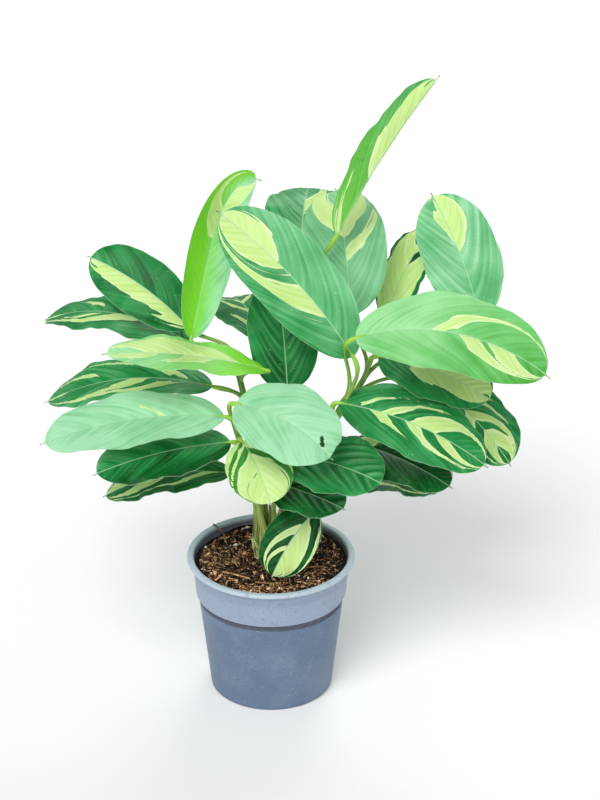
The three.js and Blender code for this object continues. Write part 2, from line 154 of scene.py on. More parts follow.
# leaf blade: a living calathea leaf, its own wax left unpolished, so the eye sees a satin face with fine slanting
# veins; the paler greens add painted sheen
leafLook = {
    # greens: the pale mint end stands for the satin sheen of upward faces, a painted sheen
    "greens": ((0.0, "#002E06"), (0.26, "#046424"), (0.5, "#2A9A4E"), (0.75, "#74CA88"), (1.0, "#B4EEC0")),
    # the lime of young leaves, also used as painted light shining through a blade
    "youngAndLitThroughLime": "#8EE838", "cream": "#EDFCC4", "creamShade": "#C6E982", "dust": "#EDF5EC",
    "underGreen": "#8FC29A", "underCream": "#DCEEAC", "underBloom": 0.6, "underRoughness": 0.22,
    "greenLines": (  # marks in the green alone: painted shade in the crease valleys, the fine side veins, and a painted highlight on the crease ridges
        ("crease", -0.1, -1.0, 0.22, "#0B4A1E"), ("sideVein", 0.3, 1.0, 0.08, "#0B4A1E"),
        ("crease", 0.3, 1.0, 0.10, "#C4E6BC")),
    "allLines": (  # marks in the green and the cream, at mm from the rib, the margin and a tear; the pale line along the margin is a painted highlight
        ("fromRib", 0.62, 0.26, 0.72, "#B9E2B4"), ("edge", 0.46, 0.12, 0.5, "#C4E6BC"),
        ("dryTip", 0.2, 0.9, 0.85, "#8A6B3C"), ("torn", 1.6, 0.7, 0.4, "#D3F0D8"), ("torn", 0.6, 0.1, 0.85, "#1D6A38")),
    "streaks": {  # the lines that the noise runs along, mm wide across them, mm long, and a shift
        "greenBand": ("vein", 6.0, 40.0, 12.9), "creamTone": ("vein", 3.4, 30.0, 17.7),
        "raggedEnd": ("sector", 12.0, 30.0, 0.0), "wobble": ("sector", 9.0, 8.0, 3.1),
        "greenStreak": ("sector", 4.2, 26.0, 5.7), "strayCream": ("sector", 3.6, 26.0, 9.3)},
    "raggedness": 17.0, "wobbleReach": 3.0, "border": (-0.12, 0.12), "greenInCream": (0.225, 0.24, 1.0, 0.0),
    "creamInGreen": (0.25, 0.265), "strayReach": (-7.0, -1.0),  # mm inside a sector, so these lie outside it
    "creamRim": (0.3, 2.6, 0.0, 0.5), "creamTones": (-0.15, 0.2, 0.0, 0.4), "specks": (0.765, 0.80, 0.0, 0.6),
    "bandContrast": 0.42, "patchContrast": 0.46,
    "perMetre": {"patches": 36.0, "specks": 700.0, "skin": 2600.0, "gloss": 90.0},  # 28, 1.4, 0.4 and 11 mm
    "veinSpacing": 2.7,  # mm; real side veins stand about 1 mm apart, too fine to show here
    "roughness": (0.3, 0.7, 0.29, 0.44),  # a cloudy noise of 0.3 to 0.7 gives 0.29 to 0.44
    "veinRelief": 0.08, "skinRelief": 0.8, "ior": 1.45, "specular": 0.28,
    "sheen": 0.06, "sheenTint": "#DFF7EA", "sheenRoughness": 0.45, "letsThrough": 0.24,
}


def calatheaLeafSatin():
    look, size = leafLook, leafLook["perMetre"]
    material, add = newMaterial("calathea_leaf_satin")
    vein, across, edge, sector, bandSide, bandEnd, pale, lime, seed, crease, dryTip, torn, under, *_ = fieldsOf(
        add, "veinField", "creamField", "leafField", "creaseField", "faceField")
    streaks, ways = {}, {"vein": vein, "sector": sector}
    for name, (way, width, length, shift) in look["streaks"].items():  # noise drawn out along the leaf's lines
        place = add("CombineXYZ", add("Math DIVIDE", ways[way], width), add("Math DIVIDE", across, length),
                    add("Math ADD", seed, shift))
        streaks[name] = add("Math SUBTRACT", add("TexNoise", place, 1.0, 0.8, 0.5), 0.5)

    # cream: inside a sector's long sides, and as far as its ragged ends reach
    side = add("Math MULTIPLY_ADD", streaks["wobble"], 2 * look["wobbleReach"], bandSide)
    ends = add("Math MULTIPLY_ADD", streaks["raggedEnd"], 2 * look["raggedness"], bandEnd)
    inside = add("Math MINIMUM", side, ends)
    cream = add("MapRange SMOOTHSTEP", inside, *look["border"])
    kept = add("MapRange SMOOTHSTEP", streaks["greenStreak"], *look["greenInCream"])
    stray = add("MapRange SMOOTHSTEP", streaks["strayCream"], *look["creamInGreen"])
    near = add("MapRange SMOOTHSTEP", inside, *look["strayReach"])
    cream = add("Math MAXIMUM", add("Math MULTIPLY", cream, kept), add("Math MULTIPLY", stray, near))

    # green: each leaf's tone, whose pale mint end is painted sheen on faces that catch the light, with darker and
    # lighter bands along the side veins, and cloudy patches over the blade
    whole = add("TexCoord", output="Object")
    patches = add("Math SUBTRACT", add("TexNoise", whole, size["patches"], 2.0), 0.5)
    tone = add("Math MULTIPLY_ADD", streaks["greenBand"], look["bandContrast"], pale)
    tone = add("Math MULTIPLY_ADD", patches, look["patchContrast"], tone)
    # lime: the young leaves' own lime, and on one leaf a painted glow of light shining through one half
    green = add("Mix RGBA", lime, add("ValToRGB", tone, stops=look["greens"]), look["youngAndLitThroughLime"])
    rim = add("MapRange SMOOTHSTEP", inside, *look["creamRim"])  # palest by its own edge
    fresh = add("Math ADD", add("MapRange", streaks["creamTone"], *look["creamTones"]), rim)
    creamColour = add("Mix RGBA", fresh, look["cream"], look["creamShade"])

    # lines: painted shade in the crease valleys, painted highlights on their ridges and the fine veins show in the
    # green alone; midrib, painted margin highlight, dry tip and scars show in the cream too
    sideVein = add("Math SINE", add("Math MULTIPLY", vein, fullTurn / look["veinSpacing"]))
    masks = {"crease": crease, "sideVein": sideVein, "fromRib": add("Math ABSOLUTE", across), "edge": edge,
             "dryTip": dryTip, "torn": torn}
    colour = laidOver(add, green, look["greenLines"], masks)
    colour = add("Mix RGBA", add("MapRange SMOOTHSTEP", cream), colour, creamColour)
    colour = laidOver(add, colour, look["allLines"], masks)
    specks = add("MapRange", add("TexNoise", whole, size["specks"], 1.0), *look["specks"])
    colour = add("Mix RGBA", specks, colour, look["dust"])

    # the mat underside shows the pattern through a grey bloom
    bloom = add("Mix RGBA", cream, look["underGreen"], look["underCream"])
    colour = add("Mix RGBA", add("Math MULTIPLY", under, look["underBloom"]), colour, bloom)

    relief = add("Math MULTIPLY_ADD", add("TexNoise", whole, size["skin"], 1.0), look["skinRelief"], sideVein)
    gloss = add("MapRange", add("TexNoise", whole, size["gloss"], 3.0), *look["roughness"])
    gloss = add("Math MULTIPLY_ADD", under, look["underRoughness"], gloss)
    skin = addSkin(add, colour, gloss, relief, 0.6, look["veinRelief"], IOR=look["ior"],
                   Specular_IOR_Level=look["specular"], Sheen_Weight=look["sheen"],
                   Sheen_Roughness=look["sheenRoughness"], Sheen_Tint=look["sheenTint"])
    glow = add("BsdfTranslucent", colour)  # a thin living blade lets some light through
    add("OutputMaterial", add("MixShader", look["letsThrough"], skin, glow))
    return material


# the same sizes as the CAD blades, and the finer relief that only shows here
blade = {
    "midribFold": 0.2, "marginDrop": 0.34, "marginWave": 0.035, "wavesPerBlade": 2.6, "leftHalfPhase": 1.9,
    "bodyEnd": 0.965, "widestShift": 1.08, "roundness": 2.25, "tipHalfWidth": 0.07, "tipShare": 0.06,
    "leastHalfWidth": 1.1, "neckTaper": 0.6,
    "thickness": 0.55, "marginThickness": 0.3, "thinMargin": 5, "ribHeight": 1.0, "ribHalfWidth": 0.8,
    "grooveDepth": 0.28, "creaseDepth": 0.42, "creaseSpacing": 6.8, "creaseWander": (1.4, 17), "creaseFade": (6, 2.2),
    "ripple": 0.55, "ripplesPerBlade": (6.3, 10.7),
    "cellLength": 1.0, "cellWidth": 1.25, "endCrowding": 0.55, "ribCrowding": 1.25,
    "veinSweep": (1.0, 1.0),  # how far a side vein runs forward, in half widths, evenly and towards the margin
    "creamSweep": (1.05, 3.4),  # the same for the borders of the cream, which bend in along the margin
    "tidyEnd": 8, "tidyFrom": 0.72, "raggedSlope": 92,  # an end that runs along the margin is tidy, the others ragged
    "tornLobes": ((0.28, 3, 1), (0.16, 7, 0)),  # depth, number and turn of the lobes round a nibbled place
    "dryTipFrom": 0.975, "seedStep": 7.3,
}
goldenAngle = 2.39996
farOutside, farInside = 40.0, 30.0  # mm, where no border of the kind is near


def headingAt(leaf, s):
    slope = (leaf["pitch"] - leaf["droop"] * s ** leaf.get("bend", 1)) * degree
    compass = leaf["azimuth"] * degree
    return np.stack([cos(compass) * np.cos(slope), sin(compass) * np.cos(slope), np.sin(slope)], -1)


def midribAt(leaf, s, count=24):
    steps = (np.arange(count) + 0.5) / count
    along = headingAt(leaf, np.asarray(s)[..., None] * steps).sum(-2)
    return np.array(leaf["base"], float) + along * (leaf["length"] * np.asarray(s) / count)[..., None]


def halfWidthAt(leaf, s):
    along = np.minimum(1, s / blade["bodyEnd"])
    body = np.sqrt(np.maximum(0, 1 - np.abs(2 * along ** blade["widestShift"] - 1) ** blade["roundness"]))
    tip = np.where(s > 0.5, blade["tipHalfWidth"] * np.minimum(1, (1 - s) / blade["tipShare"]), 0)
    neck = blade["leastHalfWidth"] * (1 - blade["neckTaper"] * s)
    return np.maximum(neck, leaf["width"] / 2 * np.maximum(body, tip))


def bladeAt(leaf, s, v):
    compass, roll = leaf["azimuth"] * degree, leaf["roll"] * degree
    left = np.array([-sin(compass), cos(compass), 0])
    above = np.cross(headingAt(leaf, s), left)
    side = left * cos(roll) + above * sin(roll)
    up = above * cos(roll) - left * sin(roll)
    half, curl = halfWidthAt(leaf, s), leaf.get("curl", -blade["marginDrop"])
    across = half * np.sin(curl * v) / curl
    crown = half * (1 - np.cos(curl * v)) / curl
    fade = np.sin(np.pi * s) ** 0.5
    phase = leaf["phase"] + np.where(v > 0, blade["leftHalfPhase"], 0)
    wave = np.sin(fullTurn * blade["wavesPerBlade"] * s + phase) * fade
    rise = crown + blade["midribFold"] * half * np.abs(v) + blade["marginWave"] * leaf["width"] * v * v * wave
    few, many = (fullTurn * count * s + leaf["phase"] for count in blade["ripplesPerBlade"])
    ripple = np.sin(few + leaf["phase"] + v) + 0.6 * np.sin(many - v)
    rise = rise + blade["ripple"] * min(1, leaf.get("crease", 1)) * np.abs(v) ** 3 * ripple * fade
    return midribAt(leaf, s) + side * across[..., None] + up * rise[..., None]


def veinPlace(leaf, s, v):  # mm from the base to where the side vein through this point leaves the midrib
    reach = leaf["width"] / 2
    share = np.abs(v) * halfWidthAt(leaf, s) / reach
    evenly, late = leaf.get("veinSweep", blade["veinSweep"])
    return s * leaf["length"] - reach * (evenly * share + late * share ** 2)


def creamPlace(leaf, s, v):  # the same for the border of a cream sector
    evenly, late = leaf.get("creamSweep", blade["creamSweep"])
    return s * leaf["length"] - leaf["width"] / 2 * (evenly * np.abs(v) + late * v ** 4)


def creamFields(leaf, s, v):  # mm inside the nearest cream sector, from its long sides and from its ends
    place, half = creamPlace(leaf, s, v), halfWidthAt(leaf, s)
    across, length = np.abs(v) * half, leaf["length"]
    evenly, late = leaf.get("creamSweep", blade["creamSweep"])
    steepness = np.hypot(1, leaf["width"] / 2 * (evenly + 4 * late * np.abs(v) ** 3) / half) / (1 + 4 * v ** 4)
    plain = blade["raggedSlope"] / leaf["width"]  # a smaller leaf has shorter tongues
    bestSide, bestEnd = np.full(s.shape, -farOutside), np.full(s.shape, -farOutside)
    for way, start, end, inner, outer in leaf["cream"]:
        side = np.minimum(place - start * length, end * length - place) / steepness
        if way:
            side = np.minimum(side, 4 * way * v * half)
        tidy = blade["tidyEnd"] if outer > blade["tidyFrom"] else plain
        ends = (outer * half - across) * tidy if outer < 1 else np.full(s.shape, farInside)
        if inner > 0:
            ends = np.minimum(ends, (across - inner * half) * plain)
        better = np.minimum(side, ends) > np.minimum(bestSide, bestEnd)
        bestSide, bestEnd = np.where(better, side, bestSide), np.where(better, ends, bestEnd)
    return bestSide, bestEnd


def tornDistance(leaf, s, v):  # mm outside the nearest nibbled or torn place; below 0 inside it
    nearest = np.full(s.shape, farOutside)
    for tearS, tearV, radius in leaf.get("tears", []):
        dx, dy = (s - tearS) * leaf["length"], (v - tearV) * halfWidthAt(leaf, s)
        turn = np.arctan2(dy, dx)
        ragged = 1 + sum(depth * np.sin(lobes * turn + shift) for depth, lobes, shift in blade["tornLobes"])
        nearest = np.minimum(nearest, np.hypot(dx, dy) - radius * ragged)
    return nearest


def sheetMesh(top, bottom, kept, fields):  # a closed thin sheet; a cell that isn't kept leaves a hole with walls
    rows, columns = top.shape[:2]
    upper = np.arange(rows * columns).reshape(rows, columns)
    under = upper + rows * columns
    faces = []
    for i, j in zip(*np.nonzero(kept)):
        corners = [(i, j), (i + 1, j), (i + 1, j + 1), (i, j + 1)]
        beside = [(i, j - 1), (i + 1, j), (i, j + 1), (i - 1, j)]
        faces.append([upper[c] for c in corners])
        faces.append([under[c] for c in reversed(corners)])
        for first, last, (row, column) in zip(corners, corners[1:] + corners[:1], beside):
            inside = 0 <= row < rows - 1 and 0 <= column < columns - 1
            if not (inside and kept[row, column]):
                faces.append([upper[last], upper[first], under[first], under[last]])
    points = np.concatenate([top.reshape(-1, 3), bottom.reshape(-1, 3)])
    used = np.unique(np.concatenate([np.array(face) for face in faces]))
    place = np.zeros(len(points), int)
    place[used] = np.arange(len(used))
    layers = {label: np.stack(values, -1).reshape(-1, 3)[used] for label, values in fields.items()}
    return meshOf(points[used], [[int(place[k]) for k in face] for face in faces], layers, 50)


def bladeMesh(leaf):
    rows = round(leaf["length"] / blade["cellLength"]) + 1
    columns = 2 * round(leaf["width"] / blade["cellWidth"] / 2) + 1
    t, u = np.linspace(0, 1, rows), np.linspace(-1, 1, columns)
    line = t - blade["endCrowding"] * np.sin(fullTurn * t) / fullTurn
    s, v = np.meshgrid(line, np.sign(u) * np.abs(u) ** blade["ribCrowding"], indexing="ij")
    middle, vein, half = bladeAt(leaf, s, v), veinPlace(leaf, s, v), halfWidthAt(leaf, s)
    normal = np.cross(np.gradient(middle, axis=0), np.gradient(middle, axis=1))
    normal /= np.linalg.norm(normal, axis=-1, keepdims=True)
    across, edge = v * half, half * (1 - np.abs(v))
    (wander, wanderLength), (fromRib, fromMargin) = blade["creaseWander"], blade["creaseFade"]
    turn = fullTurn * vein / leaf.get("creaseSpacing", blade["creaseSpacing"])
    crease = np.sin(turn + wander * np.sin(vein / wanderLength + leaf["phase"])) * leaf.get("crease", 1)
    inside = np.clip(np.abs(v) * fromRib, 0, 1) * np.clip((1 - np.abs(v)) * fromMargin, 0, 1)
    crease *= inside * np.sin(np.pi * s) ** 0.4
    middle = middle + normal * (blade["creaseDepth"] * crease)[..., None]
    onRib = np.exp(-(across / blade["ribHalfWidth"]) ** 2)
    inner = np.clip(edge / blade["thinMargin"], 0, 1)
    thickness = blade["marginThickness"] + (blade["thickness"] - blade["marginThickness"]) * inner
    groove = blade["grooveDepth"] * onRib * (1 - 0.6 * s)
    rib = blade["ribHeight"] * onRib * (1 - s) ** 0.7
    top = middle + normal * (thickness / 2 - groove)[..., None]
    bottom = middle - normal * (thickness / 2 + rib)[..., None]

    torn, even = tornDistance(leaf, s, v), np.ones(s.shape)
    kept = (torn[:-1, :-1] + torn[1:, :-1] + torn[:-1, 1:] + torn[1:, 1:]) > 0
    # pale: the leaf's place on the greens, set to its look in the light; its pale mint end is painted sheen
    pale = leaf["pale"] + leaf.get("paleSlope", 0) * (s - 0.5) + leaf.get("paleAcross", 0) * v
    lime = leaf.get("lime", 0) + leaf.get("limeAcross", 0) * v + leaf.get("limeSlope", 0) * (s - 0.5)
    dryTip = np.clip((s - blade["dryTipFrom"]) / (1 - blade["dryTipFrom"]), 0, 1)
    bothFaces = {  # the same on the upper and the lower face
        "veinField": (vein, across, edge),
        "leafField": (pale, np.clip(lime, 0, 1), even * blade["seedStep"] * leaf["phase"]),
        "creamField": (creamPlace(leaf, s, v), *creamFields(leaf, s, v)), "creaseField": (crease, dryTip, torn)}
    fields = {label: [np.stack([values, values]) for values in group] for label, group in bothFaces.items()}
    above, below = leaf.get("bloom", (0, 1))  # how much of the grey bloom each face has
    fields["faceField"] = [np.stack([above * even, below * even])] * 3
    return sheetMesh(top, bottom, kept, fields)


# stalks: living fleshy stalks, wrapped at the foot in thin dry sheaths, so the eye sees waxy green with brown seams
stalk = {
    "stemFoot": 2.6, "stemTop": 2.1, "leafStalk": 1.3, "basalFoot": 2.2, "pulvinus": 1.8, "pulvinusLength": 15,
    "rootedFrom": 72.3, "rootedTo": 103.5, "straightness": 0.5, "lean": 0.62, "topRise": 38, "rise": 0.45,
    "arch": 0.35, "longArch": 60, "bladeShare": 0.06, "bladeTaper": 0.72, "sheathLength": 34, "basalSheath": 46,
    "sheathSwell": 0.75, "stemSheath": 0.3, "topLeafShare": 0.985, "bulge": {"rise": 0.3, "up": 22, "reach": 26},
    "sides": 20, "stepLength": 1.5, "hem": 0.13,  # the sheath's free edge stands proud by this share of the radius
    "wrapPitch": 210, "dryLength": 3.5,
    "footTaper": 1.5, "jointFade": 1.25, "sheathFade": 1.3, "stemSheathFade": (1.4, 62), "seedTurn": 0.37, "noHem": 9.0,
    "hairsPerMm": 2.6, "hairLength": (0.9, 2.1), "hairSlant": (0.1, 0.9), "hairRadius": 0.07, "hairReach": 90,
    "hairThinning": 0.75, "hairRoot": 0.93, "hairCorners": (0, 2.094, 4.189),
    "lines": {  # noise drawn out along the stalk: mm wide, mm long and a shift
        "fleck": (0.55, 17.0, 0.0), "broad": (1.7, 34.0, 4.0), "blotch": (1.1, 10.0, 8.0)},
    "noiseRadius": 2.2, "deeper": (0.35, 0.65), "flecks": (0.50, 0.60, 0.06, 0.9), "onSheath": (0.85, 0.15),
    "seams": (1.0, 0.2, 0.0, 0.95), "spots": (0.5, 0.54),
    "green": "#7DB53E", "deepGreen": "#457C26", "sheath": "#CBDB7E", "husk": "#2E2A12", "seam": "#2A200C",
    "joint": "#9CCB4C", "pale": "#E3E8A8", "hair": "#DDE0B4", "oldHair": "#C9CF9A", "ribDepth": 0.24,
    "roughness": (0.25, 0.32), "ior": 1.42,  # roughness: how much the noise adds, and the least
}


def fleshyStalkSheathed():
    look = stalk
    material, add = newMaterial("fleshy_stalk_sheathed")
    along, cosTurn, sinTurn, joint, sheath, mottle, seed, hem, dry = fieldsOf(
        add, "stalkField", "stalkKind", "stalkTone")
    lines = {}
    for name, (width, length, shift) in look["lines"].items():
        lift = add("Math ADD", add("Math DIVIDE", along, length), add("Math ADD", seed, shift))
        around = [add("Math MULTIPLY", turn, look["noiseRadius"] / width) for turn in (cosTurn, sinTurn)]
        lines[name] = add("TexNoise", add("CombineXYZ", *around, lift), 1.0, 2.0)
    share = add("MapRange SMOOTHSTEP", lines["broad"], *look["deeper"])
    dark = add("MapRange SMOOTHSTEP", lines["fleck"], *look["flecks"])
    dark = add("Math MULTIPLY", dark, add("Math MULTIPLY_ADD", sheath, *look["onSheath"]))
    seam = add("MapRange SMOOTHSTEP", hem, *look["seams"])
    spots = add("MapRange SMOOTHSTEP", lines["blotch"], *look["spots"])
    seam, spots = add("Math MULTIPLY", seam, sheath), add("Math MULTIPLY", spots, mottle)
    colour = look["green"]
    for cover, ink in ((share, "deepGreen"), (sheath, "sheath"), (dark, "husk"), (seam, "seam"), (joint, "joint"),
                       (spots, "pale"), (dry, "husk")):
        colour = add("Mix RGBA", cover, colour, look[ink])
    gloss = add("Math MULTIPLY_ADD", lines["fleck"], *look["roughness"])
    add("OutputMaterial", addSkin(add, colour, gloss, lines["fleck"], 0.7, look["ribDepth"], IOR=look["ior"],
                                  Subsurface_Weight=0.1, Subsurface_Radius=(0.4, 1.0, 0.2), Subsurface_Scale=0.0015))
    return material


def fineLeafHair():
    material, add = newMaterial("fine_leaf_hair")
    speckle = add("TexNoise", add("TexCoord", output="Object"), 60.0)
    tint = add("ValToRGB", speckle, stops=[(0.35, stalk["oldHair"]), (0.65, stalk["hair"])])
    add("OutputMaterial", add("BsdfPrincipled", named={"Base Color": tint, "Roughness": 0.6, "IOR": 1.5}))
    return material


def bezier(points, count=48):
    t = np.linspace(0, 1, count)[:, None]
    layers = [np.array(p, float) * np.ones_like(t) for p in points]
    while len(layers) > 1:
        layers = [a * (1 - t) + b * t for a, b in zip(layers, layers[1:])]
    return layers[0]


def walked(*runs):  # the joined runs, with the distance from the start at each point
    line = np.concatenate([runs[0], *[run[1:] for run in runs[1:]]])
    return line, np.concatenate([[0], np.cumsum(np.linalg.norm(np.diff(line, axis=0), axis=1))])


def pointAt(line, distance, at):
    return np.stack([np.interp(at, distance, line[:, k]) for k in range(3)], -1)


def tangentAt(line, distance, at, reach=0.4):
    step = pointAt(line, distance, min(at + reach, distance[-1])) - pointAt(line, distance, max(at - reach, 0))
    return step / np.linalg.norm(step)


def newRods():
    return {"points": [], "faces": [], "fields": [], "hairs": []}


def addRod(rods, path, radiusAt, shares=None, hem=0.0, seed=0.0, sides=stalk["sides"], hairsTo=0.0, dryTip=False):
    line, distance = path  # shares gives the joint, sheath and mottle shares at a distance along it
    count = max(6, round(distance[-1] / stalk["stepLength"]))
    at = np.linspace(0, distance[-1], count + 1)
    centres = pointAt(line, distance, at)
    tangents = np.gradient(centres, axis=0)
    tangents /= np.linalg.norm(tangents, axis=1, keepdims=True)
    across, first = np.array([1.0, 0, 0]), len(rods["points"])
    draw = random.Random(round(100 * seed) + count)
    for i, (centre, tangent) in enumerate(zip(centres, tangents)):
        across = across - tangent * across.dot(tangent)
        across /= np.linalg.norm(across)
        other = np.cross(tangent, across)
        kinds = shares(at[i]) if shares else (0, 0, 0)
        dry = max(0, 1 - (distance[-1] - at[i]) / stalk["dryLength"]) if dryTip else 0.0
        for j in range(sides):
            angle = fullTurn * j / sides
            wrap = (j / sides + at[i] / stalk["wrapPitch"] + stalk["seedTurn"] * seed) % 1  # from the free edge
            radius = radiusAt(at[i]) * (1 + hem * (wrap - 0.5))
            away = fullTurn * radius * min(wrap, 1 - wrap) if hem else stalk["noHem"]
            rods["points"].append(centre + (across * cos(angle) + other * sin(angle)) * radius)
            rods["fields"].append((at[i], cos(angle), sin(angle), *kinds, seed, away, dry))
        if i:
            near, far = first + (i - 1) * sides, first + i * sides
            rods["faces"] += [(near + j, near + (j + 1) % sides, far + (j + 1) % sides, far + j) for j in range(sides)]
            free = at[i] - soilAt if hairsTo else -1
            thinning = 1 - stalk["hairThinning"] * min(1, free / hairsTo) if free > 0 else 0
            hairs = stalk["hairsPerMm"] * (at[1] - at[0]) * thinning if free < hairsTo else 0
            for _ in range(int(hairs + draw.random())):
                angle = draw.uniform(0, fullTurn)
                out = across * cos(angle) + other * sin(angle)
                back = draw.random() * (centres[i - 1] - centre)
                root = centre + back + out * radiusAt(at[i]) * stalk["hairRoot"]
                length, slant = draw.uniform(*stalk["hairLength"]), draw.uniform(*stalk["hairSlant"])
                rods["hairs"].append((root, out, tangent, length, slant))
    last = first + count * sides
    rods["faces"] += [tuple(first + j for j in reversed(range(sides))), tuple(last + j for j in range(sides))]


def rodsMesh(rods):
    fields = np.split(np.array(rods["fields"]), 3, axis=1)
    return meshOf(rods["points"], rods["faces"], dict(zip(("stalkField", "stalkKind", "stalkTone"), fields)), 60)


def hairMesh(hairs):  # each hair is a closed spike of three sides
    points, faces = [], []
    for root, out, tangent, length, slant in hairs:
        side = np.cross(out, tangent)
        a, b, c, tip = range(len(points), len(points) + 4)
        points += [root + (side * cos(turn) + tangent * sin(turn)) * stalk["hairRadius"]
                   for turn in stalk["hairCorners"]]
        points.append(root + (out * cos(slant) + tangent * sin(slant)) * length)
        faces += [(a, c, b), (a, b, tip), (b, c, tip), (c, a, tip)]
    return meshOf(points, faces)


soilAt = stalk["rootedTo"] - stalk["rootedFrom"]  # how far up a rooted rod the soil's surface is


def rootedLine(foot):
    return bezier([(*foot, stalk["rootedFrom"]), (*foot, stalk["rootedTo"])], 12)


def stemLine(stem):
    line, top = rootedLine(stem["foot"]), np.array(stem["top"], float)
    straight = (*stem["foot"], line[-1][2] + stalk["straightness"] * (top[2] - line[-1][2]))
    lean = line[-1] + (top - line[-1]) * stalk["lean"]
    lean[2] = top[2] - stalk["topRise"]
    return walked(line, bezier([line[-1], straight, lean, top]))


def leafLine(start, startHeading, leaf):
    base = np.array(leaf["base"], float)
    reach = np.linalg.norm(base - start)
    rise = start + startHeading * stalk["rise"] * reach
    meet = base - headingAt(leaf, np.float64(0)) * stalk["arch"] * min(reach, stalk["longArch"])
    return bezier([start, rise, meet, base])


def addLeafStalk(rods, rooted, start, startHeading, footRadius, leaf, sheathLength):
    inSoil = rooted is not None
    path = walked(*([rooted] if inSoil else []), leafLine(start, startHeading, leaf),
                  midribAt(leaf, np.linspace(0, stalk["bladeShare"], 6)))
    whole, straight = path[1][-1], soilAt if inSoil else 0
    bladeFrom = whole - stalk["bladeShare"] * leaf["length"]

    def radiusAt(at):
        free, below = max(0.0, at - straight), (bladeFrom - at) / stalk["pulvinusLength"]
        grown = min(1, stalk["footTaper"] * free / max(1.0, bladeFrom - straight))
        radius = footRadius + (stalk["leafStalk"] - footRadius) * grown
        radius += stalk["sheathSwell"] * max(0, 1 - free / sheathLength) ** 2 * (at > straight)
        if 0 < below < 1:
            radius += (stalk["pulvinus"] - stalk["leafStalk"]) * sin(pi * below ** 0.8)
        return radius * (1 - stalk["bladeTaper"] * max(0, at - bladeFrom) / (whole - bladeFrom))

    def shares(at):
        below = (bladeFrom - at) / stalk["pulvinusLength"]
        joint = min(1, max(0, stalk["jointFade"] - below)) if below > -0.2 else 0.8
        most = 1 if inSoil else stalk["stemSheath"]
        return joint, most * min(1, max(0, stalk["sheathFade"] - max(0, at - straight) / sheathLength)), 0

    hem, hairsTo = (stalk["hem"], stalk["hairReach"]) if inSoil else (0, 0)
    addRod(rods, path, radiusAt, shares, hem, leaf["phase"], hairsTo=hairsTo)


# leaves: cream lists a blade's pale sectors as half (1 left, -1 right, 0 both), start and end along the midrib, and
# inner and outer reach across; tears lists nibbled places as shares along and across, and a radius in mm
# pale, paleSlope and paleAcross set a leaf's green; the palest values are painted sheen on faces that catch the light
leafColumns = ("start", "base", "azimuth", "pitch", "droop", "roll", "length", "width", "pale")


def newLeaf(*values, **own):  # it starts at a share of its stem, or at a foot in the soil
    return {**dict(zip(leafColumns, values)), **own}


